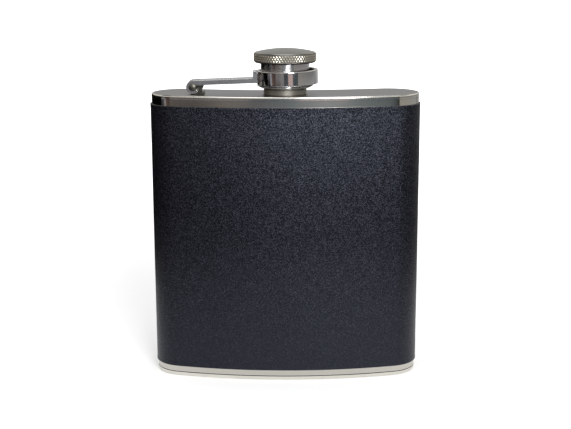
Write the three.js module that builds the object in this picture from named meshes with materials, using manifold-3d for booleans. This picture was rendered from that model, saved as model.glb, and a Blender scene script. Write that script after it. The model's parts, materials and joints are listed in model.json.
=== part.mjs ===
// Leather-wrapped hip flask with a captive screw cap.
//
// Millimetres, +Z up. The flask stands on z = 0, its convex front faces -Y, and the origin is the
// centre of the box round its foot. The steel body is a kidney in plan: it is bent about an axis
// behind it, so that it lies flat against a hip.

import * as THREE from "three";
import { mergeVertices } from "three/addons/utils/BufferGeometryUtils.js";
import Module from "manifold-3d";

const wasm = await Module();
wasm.setup();

// Steel body
const bodyWidth = 92;
const bodyThickness = 20.4;
const bodyHeight = 99.4;
const bendRadius = 142; // of the body's middle line, about an axis behind the flask
const sheet = 0.7;
const edgeRadius = 0.8; // rounding round the top plate and the foot
const rimHeight = 1.4; // the folded rim of both end plates
const standWidth = 1.6; // the flat ring that the flask stands on
const standRecess = 0.5; // how far the base is dished inside that ring
const seamGap = 0.05; // between pieces that are welded or pressed together

// Leather sleeve
const leatherThickness = 0.5;
const leatherGap = 0.05;
const topBand = 3.6; // bare steel above the leather
const baseBand = 3.7; // bare steel below the leather

// Neck
const neckBore = 4.9;
const neckWall = 1.05;
const threadDepth = 0.45;
const threadPitch = 1.6;
const threadedHeight = 8;
const mouthChamfer = 0.45;
const collarStep = 0.9; // how far the plain collar stands outside the thread
const collarHeight = 1.9;
const spigotDepth = 0.6; // how far the neck shows inside, under the top plate

// Screw cap
const threadClearance = 0.7; // crest to crest, so that the cap also lifts off along the arm's arc
const sleeveWall = 0.7;
const sleeveTop = 0.8;
const capFloorGap = 0.3; // cap above the neck's collar
const lipReach = 1.25;
const lipHeight = 0.7;
const lipFoot = 0.15; // the bevelled lip's width at its bottom edge
const sealThickness = 1.3;
const sealGap = 0.1; // seal above the mouth
const headOverhang = 0.25; // knurled head outside the ring
const headEngage = 1.45; // how deep the sleeve sits in the head
const knurlHeight = 3.2;
const knurlDepth = 0.22;
const knurlEdge = 0.35; // chamfer above and below the knurl
const domeHeight = 1.5;
const knurlCount = 36;

// Captive ring and swing arm
const ringPlay = 1.1; // between ring and cap, all round when centred
const ringWall = 1.05;
const ringHeight = 4.8;
const ringChamfer = 0.25;
const ringSeatGap = 0.25; // ring above the lip
const ringShiftShare = 0.72; // of the play, taken up away from the hinge
const armTilt = THREE.MathUtils.degToRad(2);
const ringTilt = THREE.MathUtils.degToRad(1.3);
const armWidth = 6;
const armThickness = 1.45;
const tabThickness = 1.1;
const brazeGap = 0.1; // between the arm's tab and the ring

// Hinge
const hingeInset = 14.8; // from the body's end to the pin
const pinRadius = 0.8;
const pinHeadReach = 0.5;
const pinHeadHeight = 0.45;
const eyeGap = 0.3;
const eyeWall = 1.1;
const eyeFloorGap = 0.3; // arm's eye above the top plate
const eyeMouth = THREE.MathUtils.degToRad(40); // where the rolled eye ends, below the arm
const knuckleWidth = 2.3;
const knuckleWall = 1.15;
const knuckleGap = 0.25;
const footLength = 1.4; // past the web
const footWidth = 5;
const footThickness = 0.7;
const webLean = 1.2; // how far the bracket's web leans out at its top

// Fineness
const frontSteps = 24;
const endSteps = 14;
const roundSteps = 48;
const eyeSteps = 12;
const edgeSteps = 3;
const knurlSteps = 4; // across one diamond
const knurlRows = 6;
const threadSteps = 24;
const overrun = 0.2; // of every cutting or joining solid past the face that it meets

// Sizes that follow
const halfThickness = bodyThickness / 2;
const bendAngle = Math.asin((bodyWidth / 2 - halfThickness) / bendRadius);
const endCentreX = bendRadius * Math.sin(bendAngle);
const endCentreY = bendRadius * (1 - Math.cos(bendAngle));

const neckRoot = neckBore + neckWall;
const neckCrest = neckRoot + threadDepth;
const collarRadius = neckCrest + collarStep;
const sleeveCrest = neckCrest + threadClearance;
const sleeveRoot = sleeveCrest + threadDepth;
const waistRadius = sleeveRoot + sleeveWall;
const lipRadius = waistRadius + lipReach;
const ringInner = waistRadius + ringPlay;
const ringOuter = ringInner + ringWall;
const headRadius = ringOuter + headOverhang;

const collarTop = bodyHeight + collarHeight;
const mouthZ = collarTop + threadedHeight;
const capFoot = collarTop + capFloorGap;
const lipTop = capFoot + lipHeight;
const sealFoot = mouthZ + sealGap;
const sealTop = sealFoot + sealThickness;
const sleeveTopZ = sealTop + seamGap + sleeveTop;
const headFoot = sleeveTopZ - headEngage;
const knurlTop = headFoot + knurlHeight;

const eyeBore = pinRadius + eyeGap;
const eyeRadius = eyeBore + eyeWall;
const pinZ = bodyHeight + eyeFloorGap + eyeRadius;
const hingeReach = bodyWidth / 2 - hingeInset; // from the neck's axis to the pin
const ringShift = ringPlay * ringShiftShare;
const ringMidZ = lipTop + ringSeatGap + ringOuter * Math.sin(ringTilt) + ringHeight / 2;

// Materials
const polishedSteel = new THREE.MeshStandardMaterial({ color: 0xb9b8b2, roughness: 0.22, metalness: 1 });
const brushedSteel = new THREE.MeshStandardMaterial({ color: 0x9c9b97, roughness: 0.38, metalness: 1 });
const platedSteel = new THREE.MeshStandardMaterial({ color: 0xc4c4c6, roughness: 0.08, metalness: 1 });
const navyLeather = new THREE.MeshStandardMaterial({ color: 0x262a35, roughness: 0.62, metalness: 0 });
const whiteSeal = new THREE.MeshStandardMaterial({ color: 0xd9d8d2, roughness: 0.7, metalness: 0 });

// Solids

// A closed solid through rings of points. Each ring runs anticlockwise about the way the rings go.
// cap lists the triangles that close the first and last ring, and without it the rings join up.
function loft(rings, cap) {
  const count = rings[0].length;
  const index = [];
  const spans = cap ? rings.length - 1 : rings.length;
  for (let i = 0; i < spans; i++) {
    const here = i * count;
    const next = ((i + 1) % rings.length) * count;
    for (let j = 0; j < count; j++) {
      const k = (j + 1) % count;
      index.push(here + j, here + k, next + k, here + j, next + k, next + j);
    }
  }
  if (cap) {
    const last = (rings.length - 1) * count;
    for (const [a, b, c] of cap) index.push(c, b, a, last + a, last + b, last + c);
  }
  const geometry = new THREE.BufferGeometry().setFromPoints(rings.flat());
  geometry.setIndex(index);
  return toSolid(geometry);
}

// A three.js geometry as a solid: shared points merged and flat triangles left out.
function toSolid(geometry) {
  geometry.deleteAttribute("normal");
  geometry.deleteAttribute("uv");
  const merged = mergeVertices(geometry);
  const triangles = [];
  for (let i = 0; i < merged.index.count; i += 3) {
    const [a, b, c] = [0, 1, 2].map((n) => merged.index.getX(i + n));
    if (a !== b && b !== c && c !== a) triangles.push(a, b, c);
  }
  return new wasm.Manifold(
    new wasm.Mesh({
      numProp: 3,
      vertProperties: new Float32Array(merged.attributes.position.array),
      triVerts: new Uint32Array(triangles),
    }),
  );
}

// A solid as a named mesh.
function toMesh(name, solid, material) {
  const made = solid.getMesh();
  const geometry = new THREE.BufferGeometry();
  const points = Array.from({ length: made.numVert }, (_, i) => {
    const [x, y, z] = made.vertProperties.subarray(i * made.numProp);
    return new THREE.Vector3(x, y, z);
  });
  geometry.setFromPoints(points);
  geometry.setIndex(new THREE.BufferAttribute(made.triVerts, 1));
  const shown = geometry.toNonIndexed();
  shown.computeVertexNormals();
  const mesh = new THREE.Mesh(shown, material);
  mesh.name = name;
  return mesh;
}

// A turned solid about the Z axis. The profile is [radius, z] and runs up its outer side.
function turned(profile, steps = roundSteps) {
  const points = profile.map(([r, z]) => new THREE.Vector2(r, z));
  return toSolid(new THREE.LatheGeometry(points, steps).rotateX(Math.PI / 2));
}

// A turned tube: the profile closes on itself.
const turnedTube = (profile, steps) => turned([...profile, profile[0]], steps);

const drum = (radius, low, high, steps) =>
  turned([[0, low], [radius, low], [radius, high], [0, high]], steps);

// A flat shape in X and Z, of that width in Y about y = 0.
function slab(shape, width) {
  const settings = { depth: width, bevelEnabled: false, curveSegments: eyeSteps };
  const geometry = new THREE.ExtrudeGeometry(shape, settings);
  return toSolid(geometry.rotateX(Math.PI / 2).translate(0, width / 2, 0));
}

// A round rod along Y about the origin, of that length.
function rod(radius, length) {
  return drum(radius, -length / 2, length / 2, 2 * eyeSteps).rotate([90, 0, 0]);
}

function block(lowX, highX, widthY, lowZ, highZ) {
  const geometry = new THREE.BoxGeometry(highX - lowX, widthY, highZ - lowZ);
  return toSolid(geometry.translate((lowX + highX) / 2, 0, (lowZ + highZ) / 2));
}

// Kidney plan

// The body's outline moved out by offset: the front arc, an end, the back arc and the other end.
function kidney(offset) {
  const points = [];
  const arc = (x, y, radius, from, to, steps) => {
    for (let i = 0; i < steps; i++) {
      const angle = from + ((to - from) * i) / steps;
      points.push(new THREE.Vector2(x + radius * Math.cos(angle), y + radius * Math.sin(angle)));
    }
  };
  const right = -Math.PI / 2 + bendAngle;
  const left = -Math.PI / 2 - bendAngle;
  arc(0, bendRadius, bendRadius + halfThickness + offset, left, right, frontSteps);
  arc(endCentreX, endCentreY, halfThickness + offset, right, right + Math.PI, endSteps);
  arc(0, bendRadius, bendRadius - halfThickness - offset, right, left, frontSteps);
  arc(-endCentreX, endCentreY, halfThickness + offset, left + Math.PI, left + 2 * Math.PI, endSteps);
  return points;
}

const kidneyRing = ([offset, z]) => kidney(offset).map((p) => new THREE.Vector3(p.x, p.y, z));

// A plate or pan: [offset, z] from the middle of its underside out, up and back to its top face.
function kidneyPlate(profile) {
  const cap = THREE.ShapeUtils.triangulateShape(kidney(profile[0][0]), []);
  return loft(profile.map(kidneyRing), cap);
}

// A wall of that thickness whose outer face lies at offset.
function kidneyWall(offset, thickness, low, high) {
  const section = [
    [offset - thickness, low],
    [offset, low],
    [offset, high],
    [offset - thickness, high],
  ];
  return loft(section.map(kidneyRing));
}

// A quarter round of edgeRadius about [offset, z], from one angle to the other.
function roundedEdge(offset, z, from, to) {
  return Array.from({ length: edgeSteps + 1 }, (_, i) => {
    const angle = from + ((to - from) * i) / edgeSteps;
    return [offset + edgeRadius * Math.cos(angle), z + edgeRadius * Math.sin(angle)];
  });
}

// Steel body

const bodyWall = () => kidneyWall(0, sheet, rimHeight + seamGap, bodyHeight - rimHeight - seamGap);

function basePlate() {
  const standInner = -edgeRadius - standWidth;
  return kidneyPlate([
    [standInner - standRecess, standRecess],
    [standInner, 0],
    ...roundedEdge(-edgeRadius, edgeRadius, -Math.PI / 2, 0),
    [0, rimHeight],
    [-sheet, rimHeight],
    [-sheet, standRecess + sheet],
  ]);
}

function topPlate() {
  const plate = kidneyPlate([
    [-sheet, bodyHeight - sheet],
    [-sheet, bodyHeight - rimHeight],
    [0, bodyHeight - rimHeight],
    ...roundedEdge(-edgeRadius, bodyHeight - edgeRadius, 0, Math.PI / 2),
  ]);
  return plate.subtract(drum(neckCrest + seamGap, bodyHeight - sheet - overrun, bodyHeight + overrun));
}

const leatherWrap = () =>
  kidneyWall(leatherGap + leatherThickness, leatherThickness, baseBand, bodyHeight - topBand);

// Neck and cap

// A helical ridge from radius root to radius crest, with its base sunk by overrun into the wall.
// It starts and ends by growing out of the wall over a third of a turn.
function threadRidge(root, crest, low, high) {
  const rootWidthShare = 0.72;
  const crestWidthShare = 0.2;
  const growShare = 0.33;
  const outward = Math.sign(crest - root);
  const base = root - outward * overrun;
  const rise = high - low - threadPitch;
  const steps = Math.max(threadSteps, Math.round((rise / threadPitch) * threadSteps));
  const grow = threadSteps * growShare;
  const rings = [];
  for (let i = 0; i <= steps; i++) {
    const angle = (2 * Math.PI * i) / threadSteps;
    const z = low + threadPitch / 2 + (rise * i) / steps;
    const reach = Math.min(1, i / grow, (steps - i) / grow);
    const tip = root + (crest - root) * reach;
    const at = (radius, width) =>
      new THREE.Vector3(radius * Math.cos(angle), radius * Math.sin(angle), z + width * threadPitch);
    const section = [
      at(base, -rootWidthShare / 2),
      at(base, rootWidthShare / 2),
      at(tip, crestWidthShare / 2),
      at(tip, -crestWidthShare / 2),
    ];
    rings.push(outward > 0 ? section : section.reverse());
  }
  return loft(rings, [[0, 1, 2], [0, 2, 3]]);
}

function neck() {
  const low = bodyHeight - sheet - spigotDepth;
  const tube = turnedTube([
    [neckBore, low],
    [neckCrest, low],
    [neckCrest, bodyHeight + seamGap],
    [collarRadius, bodyHeight + seamGap],
    [collarRadius, collarTop],
    [neckRoot, collarTop],
    [neckRoot, mouthZ - mouthChamfer],
    [neckRoot - mouthChamfer, mouthZ],
    [neckBore, mouthZ],
  ]);
  return tube.add(threadRidge(neckRoot, neckCrest, collarTop, mouthZ - mouthChamfer));
}

function capSleeve() {
  const ceiling = sealTop + seamGap;
  const cup = turned([
    [0, ceiling],
    [sleeveRoot, ceiling],
    [sleeveRoot, capFoot],
    [waistRadius + lipFoot, capFoot],
    [lipRadius, lipTop],
    [waistRadius, lipTop],
    [waistRadius, sleeveTopZ],
    [0, sleeveTopZ],
  ]);
  return cup.add(threadRidge(sleeveRoot, sleeveCrest, capFoot + threadDepth, sealFoot));
}

const capSeal = () => drum(sleeveCrest, sealFoot, sealTop);

// Crossed helical grooves, 0 on the diamonds' tips and 1 in a groove. Over the knurl's height a
// groove crosses one column of points in each row.
function knurlGroove(turn, height) {
  const groove = (phase) => 2 * Math.abs(phase - Math.floor(phase) - 1 / 2);
  const lean = (knurlRows / knurlSteps) * height;
  return Math.max(groove(turn * knurlCount + lean), groove(turn * knurlCount - lean));
}

function capHead() {
  const domeShares = [1, 0.8, 0.5, 0.2];
  const columns = knurlCount * knurlSteps;
  const bandFoot = headFoot + knurlEdge;
  const bandHeight = knurlHeight - 2 * knurlEdge;
  const domeRadius = headRadius - knurlEdge - knurlDepth;
  const level = (z, radiusAt) =>
    Array.from({ length: columns }, (_, i) => {
      const turn = i / columns;
      const angle = 2 * Math.PI * turn;
      const radius = radiusAt(turn);
      return new THREE.Vector3(radius * Math.cos(angle), radius * Math.sin(angle), z);
    });
  const foot = level(headFoot, () => domeRadius);
  const band = Array.from({ length: knurlRows + 1 }, (_, i) => {
    const height = i / knurlRows;
    const radiusAt = (turn) => headRadius - knurlDepth * knurlGroove(turn, height);
    return level(bandFoot + bandHeight * height, radiusAt);
  });
  const dome = domeShares.map((share) =>
    level(knurlTop + domeHeight * (1 - share * share), () => domeRadius * share),
  );
  const fan = dome[0].slice(2).map((_, i) => [0, i + 1, i + 2]);
  const bore = drum(waistRadius + seamGap, headFoot - overrun, sleeveTopZ + seamGap);
  return loft([foot, ...band, ...dome], fan).subtract(bore);
}

// Ring, arm and hinge. The arm's own frame has the pin at its origin and runs along +X.

const intoArm = (x, z) => [
  x * Math.cos(armTilt) + z * Math.sin(armTilt),
  z * Math.cos(armTilt) - x * Math.sin(armTilt),
];
const [ringX, ringZ] = intoArm(hingeReach + ringShift, ringMidZ - pinZ);
const ringTop = ringZ + ringHeight / 2;

// The ring leans within the arm's frame, about its own centre.
function ontoArm(solid) {
  const lean = THREE.MathUtils.radToDeg(armTilt - ringTilt);
  return solid.rotate([0, lean, 0]).translate(ringX, 0, ringZ);
}

function capRing() {
  const half = ringHeight / 2;
  const tube = turnedTube([
    [ringInner, -half],
    [ringOuter - ringChamfer, -half],
    [ringOuter, ringChamfer - half],
    [ringOuter, half - ringChamfer],
    [ringOuter - ringChamfer, half],
    [ringInner, half],
  ]);
  return ontoArm(tube);
}

// The rolled eye, straight arm, and the tab that is brazed to the ring.
function swingArm() {
  const under = eyeRadius - armThickness;
  const meet = Math.asin(Math.min(under / eyeBore, 1));
  const tabX = ringX - ringOuter - brazeGap - tabThickness;
  const insideX = ringX - Math.sqrt(ringOuter ** 2 - (armWidth / 2) ** 2);
  const mouth = 2 * Math.PI - eyeMouth;
  const shape = new THREE.Shape();
  shape.moveTo(insideX, under);
  shape.lineTo(insideX, ringTop);
  shape.lineTo(tabX, ringTop);
  shape.lineTo(tabX, eyeRadius);
  shape.lineTo(0, eyeRadius);
  shape.absarc(0, 0, eyeRadius, Math.PI / 2, mouth, false);
  shape.absarc(0, 0, eyeBore, mouth, meet, true);
  const strip = slab(shape, armWidth);
  const notchWidth = knuckleWidth + 2 * knuckleGap;
  const notchX = pinRadius + seamGap + knuckleWall + knuckleGap;
  const notch = block(-eyeRadius - overrun, notchX, notchWidth, -eyeRadius - overrun, eyeRadius + overrun);
  const ringSpace = ontoArm(drum(ringOuter + brazeGap, -ringHeight, ringHeight));
  return strip.subtract(notch).subtract(ringSpace);
}

// Foot, leaning web and middle knuckle, in the pin's frame.
function hingeBracket() {
  const plate = bodyHeight - pinZ + seamGap;
  const knuckle = pinRadius + seamGap + knuckleWall;
  const footX = eyeRadius + knuckleGap;
  const webTop = eyeRadius - armThickness - knuckleGap;
  const web = new THREE.Shape([
    new THREE.Vector2(-pinRadius, plate),
    new THREE.Vector2(footX, plate),
    new THREE.Vector2(footX + webLean, webTop),
    new THREE.Vector2(-pinRadius, webTop),
  ]);
  const foot = block(footX - overrun, footX + footLength, footWidth, plate, plate + footThickness);
  const roll = rod(knuckle, knuckleWidth);
  const bore = rod(pinRadius + seamGap, footWidth);
  return slab(web, knuckleWidth).add(foot).add(roll).subtract(bore);
}

function hingePin() {
  const half = armWidth / 2 + knuckleGap;
  const headRim = pinRadius + pinHeadReach;
  const end = half + pinHeadHeight;
  const crown = pinRadius;
  const profile = [
    [0, -end],
    [crown, -end],
    [headRim, -half],
    [pinRadius, -half],
    [pinRadius, half],
    [headRim, half],
    [crown, end],
    [0, end],
  ];
  return turned(profile, 2 * eyeSteps).rotate([90, 0, 0]);
}

// Assembly

const flask = new THREE.Group();
flask.name = "flask";
flask.position.y = -endCentreY / 2; // the kidney's ends reach back by endCentreY

flask.add(
  toMesh("body_wall", bodyWall(), brushedSteel),
  toMesh("top_plate", topPlate(), polishedSteel),
  toMesh("base_plate", basePlate(), brushedSteel),
  toMesh("neck", neck(), polishedSteel),
  toMesh("leather_wrap", leatherWrap(), navyLeather),
  toMesh("cap_head", capHead(), brushedSteel),
  toMesh("cap_sleeve", capSleeve(), polishedSteel),
  toMesh("cap_seal", capSeal(), whiteSeal),
);

const hinge = new THREE.Group();
hinge.position.set(-hingeReach, 0, pinZ);
hinge.add(
  toMesh("hinge_bracket", hingeBracket(), polishedSteel),
  toMesh("hinge_pin", hingePin(), polishedSteel),
);
flask.add(hinge);

const arm = new THREE.Group();
arm.rotation.y = -armTilt;
arm.add(
  toMesh("swing_arm", swingArm(), platedSteel),
  toMesh("cap_ring", capRing(), platedSteel),
);
hinge.add(arm);

const root = new THREE.Group();
root.add(flask);

export default root;
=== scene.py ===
# A leather-wrapped hip flask, dressed round its frame and laid out as a Blender add-on. Sizes are in
# metres. The flask stands on z = 0, its convex front faces -Y and its cap's hinge lies towards -X.

import json
import math

import bmesh
import bpy
import numpy as np
from bpy.props import FloatProperty, FloatVectorProperty, IntProperty, PointerProperty
from mathutils import Matrix, Vector


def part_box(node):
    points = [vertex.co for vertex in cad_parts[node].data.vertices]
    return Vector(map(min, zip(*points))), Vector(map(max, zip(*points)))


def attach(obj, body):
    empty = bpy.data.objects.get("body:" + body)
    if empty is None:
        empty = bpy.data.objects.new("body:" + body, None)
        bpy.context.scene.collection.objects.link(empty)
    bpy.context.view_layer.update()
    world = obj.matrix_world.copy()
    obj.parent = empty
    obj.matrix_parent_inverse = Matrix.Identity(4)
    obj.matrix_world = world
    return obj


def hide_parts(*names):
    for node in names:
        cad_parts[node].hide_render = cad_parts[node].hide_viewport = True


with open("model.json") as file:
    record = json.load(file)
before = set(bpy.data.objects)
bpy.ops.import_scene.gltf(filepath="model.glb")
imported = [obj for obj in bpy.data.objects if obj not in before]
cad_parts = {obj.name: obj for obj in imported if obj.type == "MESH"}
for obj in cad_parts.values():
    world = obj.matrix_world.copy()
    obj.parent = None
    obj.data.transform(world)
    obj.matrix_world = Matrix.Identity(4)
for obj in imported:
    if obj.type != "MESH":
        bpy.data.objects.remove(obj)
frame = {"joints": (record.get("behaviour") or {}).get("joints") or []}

bl_info = {
    "name": "Leather-wrapped hip flask",
    "version": (1, 0, 0),
    "blender": (4, 5, 0),
    "location": "3D View > Sidebar > Flask",
    "description": "Builds the steel, leather and screw cap of a hip flask round its frame",
    "category": "Add Mesh",
}

MM = 0.001
FULL_TURN = 2 * math.pi
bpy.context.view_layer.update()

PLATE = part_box("top_plate")
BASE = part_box("base_plate")
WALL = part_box("body_wall")
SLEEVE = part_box("leather_wrap")
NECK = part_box("neck")
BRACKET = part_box("hinge_bracket")
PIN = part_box("hinge_pin")
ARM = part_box("swing_arm")
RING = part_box("cap_ring")
CAP_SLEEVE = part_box("cap_sleeve")
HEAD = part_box("cap_head")
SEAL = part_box("cap_seal")
JOINTS = {joint["name"]: joint for joint in frame["joints"]}
PIN_PLACE = Vector(JOINTS["arm_swing"]["pos_m"])
CAP_PLACE = Vector(JOINTS["cap_turn"]["pos_m"])

MERGED = 0.0005 * MM  # points nearer than this become one
SEAT = 0.05 * MM  # play between seated pieces
CREASE = math.radians(32)  # an edge that turns by more stays sharp
PIN_SIDES = 48  # points round a pin or a rod
SPACE_SIDES = 128  # points round the space that the ring cuts from the arm
SENSOR = 36  # width of the camera's sensor in millimetres


def distance(name, default, description):
    """A length that a user can change, in metres."""
    kind = {"min": 0, "precision": 5, "unit": "LENGTH", "subtype": "DISTANCE"}
    return FloatProperty(name=name, description=description, default=default, **kind)


def angle(name, degrees, description):
    """An angle that a user can change."""
    return FloatProperty(
        name=name, description=description, default=math.radians(degrees), subtype="ANGLE"
    )


def level(name, default, description):
    """A plain number from nothing up that a user can change."""
    return FloatProperty(name=name, description=description, default=default, min=0)


def linear(code):
    """An sRGB hex colour as linear red, green and blue."""
    shown = [int(code[i : i + 2], 16) / 255 for i in (1, 3, 5)]
    return tuple(c / 12.92 if c <= 0.04045 else ((c + 0.055) / 1.055) ** 2.4 for c in shown)


def colour(name, code, description):
    """A surface colour that a user can change, kept linear."""
    kind = {"size": 3, "min": 0, "max": 1, "subtype": "COLOR"}
    return FloatVectorProperty(name=name, description=description, default=linear(code), **kind)


class BodySizes(bpy.types.PropertyGroup):
    """The steel body's sizes."""

    width: distance("Width", PLATE[1].x - PLATE[0].x, "Body across, from end to end")
    depth: distance("Depth", PLATE[1].y - PLATE[0].y, "Body from its front to the tips of its ends")
    thickness: distance("Thickness", 20.4 * MM, "Body from its front to its back at the middle")
    height: distance("Height", PLATE[1].z, "Foot to top plate")
    sheet: distance("Sheet", 0.7 * MM, "Thickness of the steel")
    edge: distance("Edge rounding", 0.8 * MM, "Rounding round the foot")
    crown: distance("Crown", 0.54 * MM, "Rounding round the top plate")
    rim: distance("Rim", BASE[1].z, "Height of the folded rims")
    stand: distance("Stand width", 1.6 * MM, "Width of the flat ring under the foot")
    recess: distance("Recess", 0.5 * MM, "How far the base is dished")
    seam: distance("Seam", 0.2 * MM, "Height of the recess where the base meets the wall")
    seam_depth: distance("Seam depth", 0.3 * MM, "Depth of that recess")


class LeatherSizes(bpy.types.PropertyGroup):
    """The leather sleeve's sizes."""

    thickness: distance("Thickness", 0.5 * MM, "Thickness of the leather")
    gap: distance("Glue line", 0.05 * MM, "Between leather and steel")
    edge: distance("Edge", 0.2 * MM, "Rounding of the cut edges")
    lift: distance("Edge lift", 0.07 * MM, "How far the cut edges curl off the steel")
    curl: distance("Edge curl", 0.9 * MM, "How far from the cut edges the curl reaches")
    seam_width: distance("Seam width", 0.7 * MM, "Groove where the ends meet at the back")
    seam_depth: distance("Seam depth", 0.34 * MM, "Depth of that groove")
    ripple: distance("Ripple", 0.035 * MM, "Unevenness of the glued hide")
    pebble: distance("Pebble", 0.2 * MM, "Width of one grain pebble")
    pebble_height: distance("Pebble height", 0.014 * MM, "Height of the grain")


class NeckSizes(bpy.types.PropertyGroup):
    """The neck's sizes. Radii are about the cap's axis."""

    bore: distance("Bore", 4.9 * MM, "Inner radius")
    root: distance("Thread root", 5.95 * MM, "Radius at the root of the thread")
    thread: distance("Thread depth", 0.45 * MM, "Height of the thread")
    pitch: distance("Thread pitch", 1.6 * MM, "Rise in one turn")
    lead: distance("Thread lead", 0.12 * MM, "Plain length between collar and thread")
    collar_top: distance("Collar top", 1.9 * MM, "Collar above the top plate")
    bevel: distance("Bevel", 0.15 * MM, "Softened edges")
    chamfer: distance("Mouth chamfer", 0.45 * MM, "Bevel round the mouth")


class CapSizes(bpy.types.PropertyGroup):
    """The cap's sizes."""

    waist: distance("Waist", 8.25 * MM, "Radius of the plain waist")
    wall: distance("Wall", 0.7 * MM, "Wall of the sleeve")
    thread: distance("Thread depth", 0.45 * MM, "Height of the inner thread")
    bevel: distance("Bevel", 0.1 * MM, "Softened edges of the sleeve")
    lip_height: distance("Lip height", 0.7 * MM, "Height of the bevelled lip")
    lip_foot: distance("Lip foot", 0.15 * MM, "Width of the lip at its bottom")
    edge: distance("Edge", 0.35 * MM, "Chamfers of the head")
    knurl_height: distance("Knurl height", 3.4 * MM, "Height of the knurled band with its chamfers")
    knurl_depth: distance("Knurl depth", 0.21 * MM, "Depth of the crossed grooves")
    knurl_pitch: distance("Knurl pitch", 1 * MM, "From groove to groove, a little coarse so as to show")
    knurl_lean: angle("Knurl lean", 34, "Lean of the grooves from upright")
    ring_wall: distance("Ring wall", 1.05 * MM, "Wall of the captive ring")
    ring_height: distance("Ring height", 4.8 * MM, "Height of the captive ring")
    ring_edge: distance("Ring edge", 0.22 * MM, "Rounding of the ring's edges")
    ring_tilt: angle("Ring tilt", 1.3, "How far the ring leans up away from the hinge")
    liner_edge: distance("Liner edge", 0.2 * MM, "Rounding of the liner's edges")
    dent: distance("Dent", 0.06 * MM, "How deep the mouth has pressed into the liner")
    dent_radius: distance("Dent radius", 5.45 * MM, "Radius of that ring")
    dent_width: distance("Dent width", 0.5 * MM, "How far it reaches to each side")


class HingeSizes(bpy.types.PropertyGroup):
    """The swing arm's and the hinge's sizes."""

    tilt: angle("Arm tilt", 2, "How far the arm rises towards the ring")
    strip: distance("Strip", 1.6 * MM, "Thickness of the arm")
    tab: distance("Tab", 1.1 * MM, "Thickness of the upturned tab")
    bend: distance("Bend", 0.5 * MM, "Inner radius where the tab turns up")
    braze: distance("Braze", 0.06 * MM, "Joint between tab and ring")
    eye_wall: distance("Eye wall", 1.1 * MM, "Thickness of the rolled eye")
    eye_gap: distance("Eye gap", 0.3 * MM, "Play of the eye round the pin")
    eye_mouth: angle("Eye mouth", 40, "Where the rolled eye ends, below the arm")
    pin: distance("Pin", 0.8 * MM, "Radius of the pin")
    pin_play: distance("Pin play", 0.03 * MM, "Play of the knuckle's bore round the pin")
    knuckle_wall: distance("Knuckle wall", 1.15 * MM, "Wall of the bracket's knuckle")
    knuckle: distance("Knuckle width", 2.3 * MM, "Width of the bracket's knuckle")
    gap: distance("Knuckle gap", 0.25 * MM, "Play beside the knuckle")
    foot: distance("Foot", 0.7 * MM, "Thickness of the bracket's foot")
    overlap: distance("Foot overlap", 0.2 * MM, "How far the foot runs into the web")
    lean: distance("Web lean", 1.2 * MM, "How far the web leans out at its top")
    bevel: distance("Bevel", 0.08 * MM, "Softened edges of the arm")
    bracket_bevel: distance("Bracket bevel", 0.1 * MM, "Softened edges of the bracket")


class FinishColours(bpy.types.PropertyGroup):
    """The finishes' colours."""

    steel: colour("Rolled steel", "#c9c6be", "Satin stainless sheet of the body")
    # Painted light: a lighter copy of the wall's steel, so that the foot shows brighter.
    foot: colour("Foot", "#e2dfd7", "Folded rim of the base, rubbed brighter than the wall")
    # Painted shade in the recessed seam above the foot.
    seam_shade: colour("Weld oxide", "#2a2826", "Darkened steel in the seam above the foot")
    rim: colour("Polished rim", "#d2d0ca", "Polished edge of the top plate")
    plate: colour("Blasted steel", "#908f8d", "Blasted face of the top plate")
    neck: colour("Turned steel", "#a8a59d", "Turned stainless of the neck")
    nickel: colour("Nickel", "#d2d0d0", "Bright plating of the ring, arm and cap sleeve")
    knurl: colour("Blasted nickel", "#9f9e96", "Blasted dome of the cap's head")
    # The knurl's crest colour is a painted highlight and its groove colour a painted shade.
    crest: colour("Knurl crests", "#fff6e6", "Nickel rubbed bright on the knurl's crests")
    groove: colour("Knurl grooves", "#1e1c19", "Nickel down in the knurl's grooves")
    # Painted shade: the bracket is drawn dark for the shade it sits in under the arm.
    bracket: colour("Bracket", "#4a4843", "Steel of the hinge's bracket, darkened by welding")
    # Painted shade: the pin is drawn dark for the shade inside the rolled eye; its dullness is the plating's
    # own roughness.
    pin: colour("Pin", "#5c5a55", "Dull plating of the hinge's pin")
    hide: colour("Hide", "#08090e", "Pigment coat on top of the pebbles")
    # Darker tone in the creases between the pebbles.
    valley: colour("Grain valleys", "#030305", "Dye in the creases between the pebbles")
    sheen: colour("Hide's sheen", "#dde4ff", "Tint of the coat's reflections")
    liner: colour("Liner", "#dedbd3", "Foamed liner in the cap")
    floor: colour("Floor", "#f4f4f4", "Paper sweep under the flask")


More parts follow.
